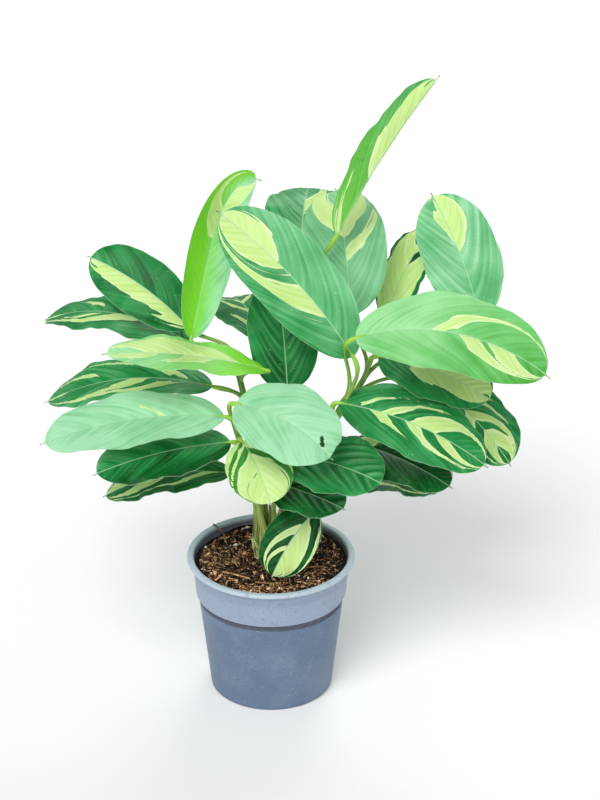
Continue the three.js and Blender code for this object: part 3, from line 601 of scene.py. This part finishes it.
leafyStems = {
    "leafy_stem_front_left": {"foot": (-5.4, 5.4), "top": (-26, -4, 216), "leaves": [
        newLeaf(0.86, (-32, -8, 219), 187, 10, 30, -16, 130, 54, 0.94, crease=0.5, cream=[(-1, 0.3, 0.34, 0, 0.3)]),
        newLeaf(0.78, (-28, -10, 200), 197, 6, 22, -20, 100, 48, 0.5, paleAcross=-0.26, cream=[]),
        newLeaf(0.93, (-24, -14, 232), -34, 8, 48, 24, 84, 62, 0.98, crease=0.45, cream=[],
            tears=[(0.855, 0.07, 0.95), (0.838, 0.12, 1.35), (0.82, 0.17, 1.0), (0.806, 0.215, 1.2),
            (0.955, 0.84, 2.3)]),
        newLeaf(0.8, (-20, -15, 203), -64, -10, 50, 14, 54, 46, 0.34, lime=0.2, creamSweep=(0.9, 0.5),
            cream=[(-1, -2, -0.1, 0, 1), (-1, 0.01, 0.1, 0, 1), (-1, 0.21, 1.1, 0, 0.92), (1, -2, 0.12, 0, 1),
            (1, 0.28, 1.1, 0, 0.92)])]},
    "leafy_stem_right": {"foot": (7.4, 5.4), "top": (53, 0, 228), "leaves": [
        newLeaf(1, (57, -5, 262), 157, 56, 26, -48, 138, 57, 0.66, creamSweep=(1.07, 3.5), paleAcross=-0.08,
            cream=[(1, 0.24, 0.45, 0, 0.94), (1, 0.55, 1.1, 0, 0.92), (-1, 0.6, 1.1, 0, 0.66)]),
        newLeaf(1, (58, -14, 280), -15, 24, 62, 36, 142, 61, 0.8, lime=0.3, paleSlope=-0.4, paleAcross=0.12,
            crease=0.7, cream=[(1, 0.38, 0.47, 0.05, 0.94), (-1, 0.5, 0.62, 0, 0.7), (-1, 0.64, 0.8, 0, 0.62)]),
        newLeaf(0.84, (48, -2, 225), -17, -2, 34, 26, 114, 56, 0.48, cream=[(1, 0.08, 0.13, 0.15, 0.75),
            (1, 0.26, 0.33, 0, 0.6), (1, 0.44, 0.62, 0, 0.94), (-1, 0.2, 0.28, 0, 0.5), (-1, 0.41, 0.49, 0, 0.85),
            (-1, 0.6, 0.72, 0, 0.85)])]},
    "leafy_stem_back_left": {"foot": (-3.4, 13.2), "top": (-24, 32, 246), "leaves": [
        newLeaf(0.9, (-3, 7, 247), 191, 23, 22, -6, 117, 46, 0.95, lime=0.65, limeSlope=-1.1, crease=0.7,
            cream=[(-1, 0.16, 0.75, 0, 0.8), (1, 0.3, 0.5, 0, 0.6), (1, 0.66, 1.1, 0, 0.8)]),
        # this leaf's lime, strongest on one half, is painted light shining through the blade
        newLeaf(1, (-54, 38, 258), 28, 76, 112, 66, 134, 35, 0.96, bend=6, curl=0.7, crease=0.45, lime=0.72,
            limeAcross=1.1, limeSlope=-0.9, cream=[(1, 0.55, 0.72, 0, 0.8), (-1, 0.66, 0.84, 0, 1)]),
        newLeaf(0.8, (-40, 34, 222), 172, 14, 46, -6, 126, 58, 0.54),
        newLeaf(0.9, (-56, 52, 248), 152, 24, 54, -4, 124, 58, 0.46),
        newLeaf(1, (-56, 45, 263), 153, 42, 30, -46, 90, 45, 0.42, cream=[(1, -0.4, 1.1, 0, 0.42)])]},
    "leafy_stem_back_right": {"foot": (5.4, 13.2), "top": (68, 46, 220), "leaves": [
        newLeaf(1, (78, 36, 242), -24, 2, 30, 24, 88, 52, 0.46, cream=[(-1, 0.22, 1.1, 0, 0.62),
            (1, 0.2, 0.9, 0, 0.9)]),
        newLeaf(0.88, (116, 42, 216), -42, -12, 36, 16, 84, 54, 0.46, cream=[(0, 0.16, 0.24, 0, 0.7),
            (0, 0.38, 0.5, 0, 0.85), (0, 0.6, 0.8, 0, 0.9)]),
        newLeaf(1, (151, 60, 258), 136, 74, 26, -35, 98, 57, 0.82, cream=[(-1, 0.52, 1.1, 0, 0.93),
            (1, 0.6, 0.92, 0, 0.12)]),
        newLeaf(1, (58, 50, 268), 97, 80, 62, -8, 100, 60, 0.78, bloom=(0.5, 1), creamSweep=(0.85, 0.3),
            cream=[(0, 0.56, 0.78, 0, 1), (-1, 0.38, 0.47, 0, 0.9)]),
        # its underside bloom is nearly left out, so this face in shade still shows bright cream: painted light
        newLeaf(0.86, (85, 76, 252), 46, 66, 44, -10, 86, 47, 0.3, bloom=(0, 0.05), cream=[(0, -2, 0.5, 0, 0.86),
            (-1, 0.6, 1.1, 0, 0.9), (1, 0.5, 0.66, 0, 0.84), (1, 0.74, 1.1, 0, 0.7)]),
        newLeaf(0.7, (58, 22, 182), -30, 0, 25, 14, 82, 48, 0.26, cream=[(1, -0.2, 0.16, 0, 1)])]},
    "leafy_stem_back": {"foot": (1, 9.4), "top": (10, 40, 254), "leaves": [
        newLeaf(0.8, (13, 23, 222), 100, 76, 24, 0, 84, 52, 0.42, crease=1.3, creaseSpacing=9, cream=[]),
        newLeaf(1, (22, 64, 284), 84, 44, 62, 0, 130, 58, 0.55),
        newLeaf(0.9, (-2, 62, 244), 104, 16, 50, 0, 118, 54, 0.4),
        newLeaf(1, (49, 55, 328), 11, 64, 14, -60, 132, 32, 0.52, curl=1.7, crease=0.8, creaseSpacing=9, lime=0.42,
            limeSlope=-0.6, bloom=(0, 0.12), veinSweep=(2.6, 2.2), creamSweep=(2.6, 3.4),
            cream=[(-1, -0.42, -0.2, 0, 0.7), (-1, -0.15, -0.02, 0, 0.66), (1, -0.5, -0.2, 0, 1),
            (1, 0.3, 1.1, 0, 0.7), (-1, 0.34, 1.1, 0, 0.64)])]},
}
basalLeaves = {
    "basal_leaf_front": newLeaf((4.2, -1), (10, -12, 190), -32, 12, 28, 20, 78, 56, 0.44, crease=1.9,
        creaseSpacing=12, cream=[]),
    "basal_leaf_low_front": newLeaf((-2, -1.2), (-4, -13, 171), -31, 2, 16, 16, 64, 44, 0.28, crease=1.7,
        creaseSpacing=11, cream=[]),
    "basal_leaf_hanging": newLeaf((10.4, 0.4), (31.5, -12, 146), -152, -36, 30, -42, 58, 39, 0.2,
        cream=[(1, 0.06, 1.1, 0, 0.66), (1, -1.0, -0.5, 0.74, 1), (-1, 0.24, 0.42, 0, 0.9),
        (-1, 0.54, 0.62, 0, 0.8)]),
    "basal_leaf_left": newLeaf((-10.4, 10), (-28, 12, 164), 176, 8, 42, -8, 96, 48, 0.38),
    "basal_leaf_right": newLeaf((12.4, 9.6), (36, 14, 158), 8, 8, 40, 8, 92, 48, 0.34),
    "basal_leaf_back": newLeaf((1, 18.4), (2, 44, 166), 95, 5, 40, 0, 94, 48, 0.4),
}
newShoot = {
    "foot": (-9.6, 1.4), "tip": (-14, -4, 122), "radii": (2.4, 2.4, 2.7, 1.9, 0.35), "radiiAt": (0, 0.3, 0.7, 1),
    "bow": 0.4, "hem": 0.16, "shares": (0.1, 1, 1),
}


def drawnCream(draw):  # leaves that the photograph hides get sectors by the same habit as those that it shows
    sectors, at = [], draw.uniform(0.02, 0.2)
    while at < 0.85:
        width = draw.uniform(0.05, 0.2)
        sectors.append((draw.choice((-1, 1, 0, 0)), at, at + width, draw.choice((0, 0, 0, 0.25)),
                        draw.choice((0.6, 0.8, 1, 1))))
        at += width + draw.uniform(0.06, 0.26)
    return sectors


everyLeaf = [leaf for stem in leafyStems.values() for leaf in stem["leaves"]] + list(basalLeaves.values())
patternDraw = random.Random(11)
for index, leaf in enumerate(everyLeaf):
    leaf["phase"] = index * goldenAngle
    if "cream" not in leaf:
        leaf["cream"] = drawnCream(patternDraw)
leafMaterial, stalkMaterial, hairMaterial = calatheaLeafSatin(), fleshyStalkSheathed(), fineLeafHair()


def addGrown(name, rods, nodeName):
    addPiece(name, rodsMesh(rods), stalkMaterial, nodeName)
    if rods["hairs"]:
        addPiece(f"{name}_hairs", hairMesh(rods["hairs"]), hairMaterial, nodeName)


for nodeName, stem in leafyStems.items():
    rods, path = newRods(), stemLine(stem)
    whole = path[1][-1]

    def stemRadius(at):
        taper = (stalk["stemTop"] - stalk["stemFoot"]) * max(0, at - soilAt) / (whole - soilAt)
        bulge = stalk["bulge"]
        return stalk["stemFoot"] + taper + bulge["rise"] * max(0, 1 - abs(at - soilAt - bulge["up"]) / bulge["reach"])

    full, fade = stalk["stemSheathFade"]
    addRod(rods, path, stemRadius, lambda at: (0, min(1, max(0, full - (at - soilAt) / fade)), 0),
           stalk["hem"], stem["foot"][0], hairsTo=stalk["hairReach"])
    for number, leaf in enumerate(stem["leaves"], 1):
        at = leaf["start"] * stalk["topLeafShare"] * whole
        start, heading = pointAt(*path, at), tangentAt(*path, at)
        addLeafStalk(rods, None, start, heading, stalk["leafStalk"], leaf, stalk["sheathLength"])
        addPiece(f"{nodeName}_blade_{number}", bladeMesh(leaf), leafMaterial, nodeName)
    addGrown(f"{nodeName}_stalks", rods, nodeName)
for nodeName, leaf in basalLeaves.items():
    rods, rooted = newRods(), rootedLine(leaf["start"])
    addLeafStalk(rods, rooted, rooted[-1], np.array([0, 0, 1.0]), stalk["basalFoot"], leaf, stalk["basalSheath"])
    addGrown(f"{nodeName}_stalk", rods, nodeName)
    addPiece(f"{nodeName}_blade", bladeMesh(leaf), leafMaterial, nodeName)
rods, rooted, tip = newRods(), rootedLine(newShoot["foot"]), np.array(newShoot["tip"], float)
bow = rooted[-1] + (tip - rooted[-1]) * newShoot["bow"]
bow[0] = rooted[-1][0]
path = walked(rooted, bezier([rooted[-1], bow, tip]))
stations = [0] + [soilAt + share * (path[1][-1] - soilAt) for share in newShoot["radiiAt"]]
addRod(rods, path, lambda at: float(np.interp(at, stations, newShoot["radii"])),
       lambda at: newShoot["shares"], newShoot["hem"], 1.0, dryTip=True)
addGrown("new_shoot_husk", rods, "new_shoot")
print("leaves and stalks grown:", len(everyLeaf), "blades")


# pot: polypropylene, injection-moulded in a lightly sparked tool, which gives a dull even skin
pot = {
    "profile": [(0, 0), (43, 0), (44, 1), (51.8, 70.1), (50.6, 70.7), (50.6, 75.5), (54, 76.1), (56, 101.8),
                (59.2, 101.8), (60, 102.6), (60, 104.2), (59.2, 105), (56.2, 105), (55.4, 104.2), (54.6, 100.8),
                (52.6, 77.5), (49.2, 76.1), (49.2, 70.7), (50.4, 69.3), (42.6, 2.2), (0, 2.2)],
    "segments": 144, "cornerRadius": 0.55, "cornerShare": 0.42, "holes": 8, "holeRadius": 3.5, "holeRing": 31,
    "drillDepth": 8, "drillSegments": 28, "sharpAngle": 38,
    "band": "#909FB5", "body": "#5A7089", "bandFrom": (75.6, 76.4), "ior": 1.49,
    "roughness": (0.16, 0.44),  # how much the noise adds, and the least
    "marks": (  # what, where it starts and is full, the most it covers, its colour; heights in mm
        # height paints the rim paler than the band, a painted highlight on the rim; groove paints shade into the groove
        # and inside onto the inner wall above the soil; the mark under the rim paints shade as a brown line beneath its
        # lip
        ("cloud", 0.40, 0.70, 0.08, "#C9D4DE"), ("height", 101.6, 102.2, 0.9, "#B4C5D0"),
        ("groove", 0.0, 1.0, 0.85, "#4A4C5C"), ("smear", 0.56, 0.80, 0.30, "#6B655E"),
        ("scratch", 0.66, 0.70, 0.32, "#C9D4DE"), ("underRim", 0.2, 1.0, 0.75, "#4A3A2E"),
        ("inside", 0.0, 1.0, 0.70, "#4A4C5C"), ("coarseDust", 0.70, 0.73, 0.62, "#3E3B3C"),
        ("fineDust", 0.69, 0.72, 0.42, "#4A3A2E")),
    "zones": {  # where the painted shade lies: two fades of each, in mm
        "inside": ("radius", 55.7, 54.9, "height", 90.0, 96.0),
        "underRim": ("height", 99.6, 101.6, "height", 102.3, 101.9),
        "groove": ("height", 70.2, 70.8, "height", 76.0, 75.4)},
    "noises": {  # mm across, detail, and how much it is squeezed upright
        "cloud": (28, 3.0, 1.0), "smear": (6, 4.0, 0.25), "scratch": (3.2, 2.0, 7.0), "coarseDust": (1.3, 1.0, 1.0),
        "fineDust": (0.6, 1.0, 1.0),
        "grain": (0.6, 2.0, 1.0)},  # the sparked skin; a real one is finer, and wouldn't show
}


def roundedProfile(points, radius):
    rounded = [points[0]]
    for before, corner, after in zip(points, points[1:], points[2:]):
        corner, before, after = (np.array(p, float) for p in (corner, before, after))
        inward, outward = before - corner, after - corner
        reach = min(radius, *(pot["cornerShare"] * np.linalg.norm(way) for way in (inward, outward)))
        first = corner + inward / np.linalg.norm(inward) * reach
        last = corner + outward / np.linalg.norm(outward) * reach
        rounded += [tuple(first * (1 - t) ** 2 + corner * 2 * t * (1 - t) + last * t * t) for t in (0, 0.33, 0.67, 1)]
    return rounded + [points[-1]]


def latheMesh(profile, segments, heightAt=None, sharpAngle=None):  # a height of None is taken from heightAt
    points, faces, rings = [], [], []
    for radius, z in profile:
        turns = [fullTurn * i / segments for i in range(segments)] if radius > 1e-6 else [0]
        rings.append([len(points) + i % len(turns) for i in range(segments)])
        for turn in turns:
            x, y = radius * cos(turn), radius * sin(turn)
            points.append((x, y, heightAt(x, y) if z is None else z))
    for lower, upper in zip(rings, rings[1:]):
        for i in range(segments):
            j = (i + 1) % segments
            faces.append(tuple(dict.fromkeys([lower[i], lower[j], upper[j], upper[i]])))
    return meshOf(points, faces, sharpAngle=sharpAngle)


def drilledPot():
    drill, radius = bmesh.new(), pot["holeRadius"] * mm
    for k in range(pot["holes"]):
        angle = fullTurn * k / pot["holes"]
        centre = Vector((cos(angle), sin(angle), 0)) * pot["holeRing"] * mm
        bmesh.ops.create_cone(drill, cap_ends=True, segments=pot["drillSegments"], depth=pot["drillDepth"] * mm,
                              radius1=radius, radius2=radius, matrix=Matrix.Translation(centre))
    cutterMesh = bpy.data.meshes.new("drill")
    drill.to_mesh(cutterMesh)
    drill.free()
    cutter = addObject("drill", cutterMesh)
    turned = latheMesh(roundedProfile(pot["profile"], pot["cornerRadius"]), pot["segments"])
    body = addObject("nursery_pot_raw", turned)
    cut = body.modifiers.new("drain holes", "BOOLEAN")
    cut.object, cut.operation, cut.solver = cutter, "DIFFERENCE", "EXACT"
    drilled = bpy.data.meshes.new_from_object(body.evaluated_get(bpy.context.evaluated_depsgraph_get()))
    for piece in (cutter, body):
        bpy.data.objects.remove(piece)
    return smoothed(drilled, pot["sharpAngle"])


def inMillimetres(add):
    return add("VectorMath SCALE", add("TexCoord", output="Object"), named={"Scale": 1 / mm})


def mouldedPolypropylene():
    look = pot
    material, add = newMaterial("moulded_polypropylene")
    x, y, z = add("SeparateXYZ", inMillimetres(add)).node.outputs
    radius = add("VectorMath LENGTH", add("CombineXYZ", x, y, 0.0), output="Value")
    masks = {"radius": radius, "height": z}
    for name, (size, detail, squeeze) in look["noises"].items():
        place = add("CombineXYZ", x, y, add("Math MULTIPLY", z, squeeze))
        masks[name] = add("TexNoise", place, 1 / size, detail)
    for name, (way, start, full, otherWay, otherStart, otherFull) in look["zones"].items():
        fades = add("MapRange", masks[way], start, full), add("MapRange", masks[otherWay], otherStart, otherFull)
        masks[name] = add("Math MULTIPLY", *fades)
    colour = add("Mix RGBA", add("MapRange", z, *look["bandFrom"]), look["body"], look["band"])
    colour = laidOver(add, colour, look["marks"], masks)
    height = add("Math MULTIPLY_ADD", masks["cloud"], 2.0, masks["grain"])
    gloss = add("Math MULTIPLY_ADD", masks["cloud"], *look["roughness"])
    add("OutputMaterial", addSkin(add, colour, gloss, height, 0.35, 0.1, IOR=look["ior"]))
    return material


addPiece("nursery_pot", drilledPot(), mouldedPolypropylene(), "pot")
print("pot moulded and drilled")


# soil: peat and coir potting mix, tipped in and watered, so the eye sees dark damp crumbs with tan bits of bark, and
# painted shade darkens the ground between them
soil = {
    "topZ": 99.5, "mound": 1.6, "lump": 0.9, "edgeRadius": 53.9, "bandRadius": 56, "ring": 0.8, "segments": 288,
    "hollow": {"place": (-33, 25), "depth": 2.6, "reach": 13}, "bottom": 2.5,
    "lower": [(42.3, 2.5), (50.1, 69.3), (48.9, 70.7), (48.9, 76.1), (52.3, 77.5)],
    "crumbs": ((5.5, 1.0), (2.4, 0.85), (1.1, 0.5)),  # mm across, mm high
    "pits": {"size": 9, "depth": 1.8, "share": 0.26}, "frontRim": ((150, 320), (0.8, 1)),
    # the ground is damp peat, its darkest stops near black as painted shade in the gaps between the crumbs
    "groundAndGapShade": ("#050302", "#0C0704", "#1A100A", "#3A261A"), "ior": 1.4, "specular": 0.25,
    "fineness": 4, "spottiness": 1.4, "fineShare": 0.4, "broadShare": 0.6, "stops": (0.40, 0.20),  # stops: first, span
}


def soilHeight(x, y):
    edge = min(1, hypot(x, y) / soil["bandRadius"])
    lumps = sin(0.31 * x + 1.3) * cos(0.27 * y - 0.4) + 0.6 * sin(0.19 * x - 0.36 * y)
    height = soil["topZ"] + soil["mound"] * (1 - edge * edge) + soil["lump"] * lumps * (1 - 0.5 * edge)
    hollow, pits = soil["hollow"], soil["pits"]
    away = dist((x, y), hollow["place"]) / hollow["reach"]
    height -= hollow["depth"] * exp(-away * away)
    for size, rise in soil["crumbs"]:
        height += rise * noise.noise(Vector((x / size, y / size, size)))
    pit = noise.noise(Vector((x / pits["size"], y / pits["size"], 40))) - pits["share"]
    return height - pits["depth"] * max(0, pit)


def soilMesh():
    count = round(soil["edgeRadius"] / soil["ring"])
    top = [(soil["edgeRadius"] * (1 - k / count), None) for k in range(count)]
    profile = [(0, soil["bottom"]), *soil["lower"], *top, (0, None)]
    return latheMesh(profile, soil["segments"], soilHeight, 70)


def looseMix(name, colours, grainMm, roughness, bumpMm):  # one crumbly material for each kind of bit in the mix
    material, add = newMaterial(name)
    place = inMillimetres(add)
    broad = add("TexNoise", place, 1 / grainMm, 4.0, 0.65)
    fine = add("TexNoise", place, soil["fineness"] / grainMm, 3.0)
    spots = add("TexVoronoi", place, soil["spottiness"] / grainMm, output="Distance")
    mixed = add("Math MULTIPLY_ADD", fine, soil["fineShare"], add("Math MULTIPLY", broad, soil["broadShare"]))
    first, span = soil["stops"]
    stops = [(first + span * k / (len(colours) - 1), colour) for k, colour in enumerate(colours)]
    tint, height = add("ValToRGB", mixed, stops=stops), add("Math ADD", fine, spots)
    add("OutputMaterial", addSkin(add, tint, roughness, height, 0.8, bumpMm, IOR=soil["ior"],
                                  Specular_IOR_Level=soil["specular"]))
    return material


# bits of the mix, half sizes in mm: slim and flat are shares of the length, byRim the share lying by the front rim
bitColumns = ("count", "size", "slim", "flat", "sink", "ragged", "subdivisions", "byRim", "tilt", "grain", "roughness")
bits = {
    "soil_crumbs": (1300, (0.45, 1.5), (0.6, 1.0), (0.6, 0.9), 0.35, 0.7, 1, 0.1, 0.6, 2.2, 0.92),
    "soil_clods": (260, (1.2, 2.5), (0.6, 0.95), (0.5, 0.8), 0.1, 0.8, 2, 0.1, 0.5, 2.4, 0.94),
    "bark_bits": (420, (0.9, 2.6), (0.22, 0.5), (0.12, 0.26), 1.2, 0.5, 2, 0.34, 1.0, 4.5, 0.8),
    "perlite_grains": (16, (0.4, 0.9), (0.7, 1.0), (0.6, 0.9), 0.6, 0.45, 2, 0.2, 0.5, 1.0, 0.85)}
bitColours = {
    "soil_crumbs": ("#080402", "#150B06", "#45291A", "#D8AE84"),
    "soil_clods": ("#080402", "#1A0E08", "#402717", "#9A6E4E"),
    "bark_bits": ("#5A3420", "#A06E48", "#D2A47C", "#F0D2B0"),
    "perlite_grains": ("#DDD8CC", "#F4F1E8", "#FFFFFF")}
seenGrains = [(-25.1, 22.5, 1.7), (-46.7, 20.2, 1.3), (-16.2, 46.7, 1.2), (-32.5, 16.7, 1.2), (-15.2, -43.8, 1.3),
              (4.9, -43, 1.0), (32.8, -34, 1.2), (25.4, -29.8, 1.0), (36.3, 24.6, 1.1), (18.8, -27.3, 0.9)]  # perlite
fibres = {
    "count": 110, "length": (5, 20), "radius": (0.09, 0.22), "reach": 51.5, "startReach": 47.5, "byRim": 0.2,
    "steps": 9, "sway": (-0.07, 0.07), "lift": 0.3, "bow": 0.5, "taper": 0.5, "sides": 5,
    "colours": ("#7A5232", "#BC8C5A", "#ECD0A6"),
    "laid": [  # radius, end lift, and the points that it passes, as the photograph shows them
        (0.75, 0.6, [(-34.7, -20.7), (-25.9, -24.0), (-15.8, -29.8)]),
        (0.32, 1.4, [(-23.5, 8.1), (-18.8, 5.5), (-14.5, 3.4), (-12.2, 2.6)]),
        (0.28, 1.0, [(-27, 3.8), (-24.9, -3), (-22.4, -11.5)]),
        (0.28, 0.8, [(-29.1, 2.1), (-27.4, -6.4), (-23.7, -13.1)]),
        (0.42, 1.0, [(-12, -34), (-4, -37.5), (6, -37)]), (0.4, 0.8, [(22, -18), (29, -14), (35, -15)])],
    "root": {"radius": 0.75, "points": [(-32, 33, 100.4), (-35, 37, 103.2), (-38.5, 41, 105.9), (-41, 42.6, 105.7)],
             "colours": ("#4E2C22", "#7A4A38", "#93604A")},
}


def scatteredPlace(draw, reach, byRim):
    if draw.random() < byRim:
        turns, shares = soil["frontRim"]
        angle, radius = draw.uniform(*turns) * degree, reach * draw.uniform(*shares)
    else:
        angle, radius = draw.uniform(0, fullTurn), reach * sqrt(draw.random())
    return radius * cos(angle), radius * sin(angle)


def lumpsMesh(draw, kind, spots):
    shape = bmesh.new()
    bmesh.ops.create_icosphere(shape, subdivisions=kind["subdivisions"], radius=1.0)
    ball = [vertex.co.copy() for vertex in shape.verts]
    triangles = [[vertex.index for vertex in face.verts] for face in shape.faces]
    shape.free()
    for _ in range(kind["count"]):
        size = draw.uniform(*kind["size"])
        spots = [*spots, (*scatteredPlace(draw, fibres["reach"] - 0.6 * size, kind["byRim"]), size)]
    points, faces = [], []
    for x, y, size in spots:
        width, height = size * draw.uniform(*kind["slim"]), size * draw.uniform(*kind["flat"])
        spin, lean, shift = draw.uniform(0, fullTurn), draw.uniform(-0.5, 0.5) * kind["tilt"], draw.uniform(0, 90)
        faces += [[corner + len(points) for corner in face] for face in triangles]
        bottom = soilHeight(x, y) + height * kind["sink"]
        for corner in ball:
            push = 1 + kind["ragged"] * noise.noise(corner * 1.7 + Vector((shift, 0, 0)))
            a, b, c = corner.x * size * push, corner.y * width * push, corner.z * height * push
            points.append((x + a * cos(spin) - b * sin(spin), y + a * sin(spin) + b * cos(spin),
                           bottom + c + a * lean))
    return meshOf(points, faces, sharpAngle=45)


def addFibre(rods, points, radius, taper, sides):
    path = walked(np.array(points))
    addRod(rods, path, lambda at: radius * (1 - taper * at / path[1][-1]), sides=sides)


def fibresMesh(draw):
    rods, steps = newRods(), fibres["steps"]
    for _ in range(fibres["count"]):
        x, y = scatteredPlace(draw, fibres["startReach"], fibres["byRim"])
        length, radius = draw.uniform(*fibres["length"]), draw.uniform(*fibres["radius"])
        way, sway = draw.uniform(0, fullTurn), draw.uniform(*fibres["sway"])
        line = []
        while len(line) <= steps and hypot(x, y) < fibres["reach"]:
            bow = fibres["bow"] * sin(pi * len(line) / steps)
            line.append((x, y, soilHeight(x, y) + radius + fibres["lift"] + bow))
            x, y = x + cos(way) * length / steps, y + sin(way) * length / steps
            way += sway * length / steps
        if len(line) > 3:
            addFibre(rods, line, radius, fibres["taper"], fibres["sides"])
    for radius, lift, spots in fibres["laid"]:
        high = [(x, y, soilHeight(x, y) + radius + 0.7 + lift * (k % 2)) for k, (x, y) in enumerate(spots)]
        addFibre(rods, bezier(high, 14), radius, 0.35, 8)
    return rodsMesh(rods)


mixDraw = random.Random(5)
addPiece("potting_soil", soilMesh(), looseMix("damp_peat_mix", soil["groundAndGapShade"], 2.2, 0.92, 0.5), "soil")
for name, values in bits.items():
    kind, spots = dict(zip(bitColumns, values)), seenGrains if name == "perlite_grains" else []
    material = looseMix(f"{name}_mix", bitColours[name], kind["grain"], kind["roughness"], 0.3)
    addPiece(name, lumpsMesh(mixDraw, kind, spots), material)
addPiece("coir_fibres", fibresMesh(mixDraw), looseMix("coir_fibre", fibres["colours"], 5.0, 0.75, 0.1))
rods, root = newRods(), fibres["root"]
addFibre(rods, bezier(root["points"], 16), root["radius"], 0.3, 8)
addPiece("dry_root", rodsMesh(rods), looseMix("dry_root_bark", root["colours"], 3.0, 0.7, 0.2))
print("soil filled and strewn")


# studio: a plain pale floor, a white room that is brightest low down, and soft lamps
studio = {
    "floorRadius": 9, "floorEdges": 64, "floorColour": "#F1F1EF",  # lengths in this dictionary are in metres
    "sky": ((0.0, "#DADADA"), (0.5, "#FBFBFB"), (0.60, "#D2D4D8"), (0.78, "#A9ABB0"), (1.0, "#9C9EA4")),
    "roomStrength": 0.88,
    "sun": {"turn": (36, -20, 0), "strength": 2.35, "angle": 36},
    "lamps": [  # place, aim, size and watts
        ("back_softbox", (0.5, 1.6, 1.5), (0, 0, 0.25), 1.1, 15),
        ("front_softbox", (1.5, -1.9, 1.1), (0, 0, 0.2), 1.4, 8)],
}


def mattPaperFloor():
    material, add = newMaterial("matt_paper_floor")
    grain = add("TexNoise", add("TexCoord", output="Object"), 900.0, 2.0)
    add("OutputMaterial", addSkin(add, studio["floorColour"], 0.8, grain, 0.1, 0.1))
    return material


reach, count = studio["floorRadius"] / mm, studio["floorEdges"]
turns = [k * fullTurn / count for k in range(count)]
sheet = meshOf([(reach * cos(turn), reach * sin(turn), 0) for turn in turns], [tuple(range(count))])
sheet.materials.append(mattPaperFloor())
addObject("studio_floor", sheet)
sun = bpy.data.lights.new("window_light", "SUN")
sun.energy, sun.angle = studio["sun"]["strength"], studio["sun"]["angle"] * degree
addObject("window_light", sun).rotation_euler = [turn * degree for turn in studio["sun"]["turn"]]
for name, place, aim, size, power in studio["lamps"]:
    lamp = bpy.data.lights.new(name, "AREA")
    lamp.shape, lamp.size, lamp.energy = "DISK", size, power
    addStand(name, lamp, place, aim)
room = bpy.data.worlds.new("white_room")
room.use_nodes = True
room.node_tree.nodes.clear()
add = functools.partial(addNode, room.node_tree)
rise = add("SeparateXYZ", add("TexCoord", output="Generated"), output="Z")
sky = add("ValToRGB", add("MapRange", rise, -1.0, 1.0), stops=studio["sky"])
add("OutputWorld", add("Background", sky, studio["roomStrength"]))
scene.world = room
scene.view_settings.view_transform = "Standard"
print("studio lit")
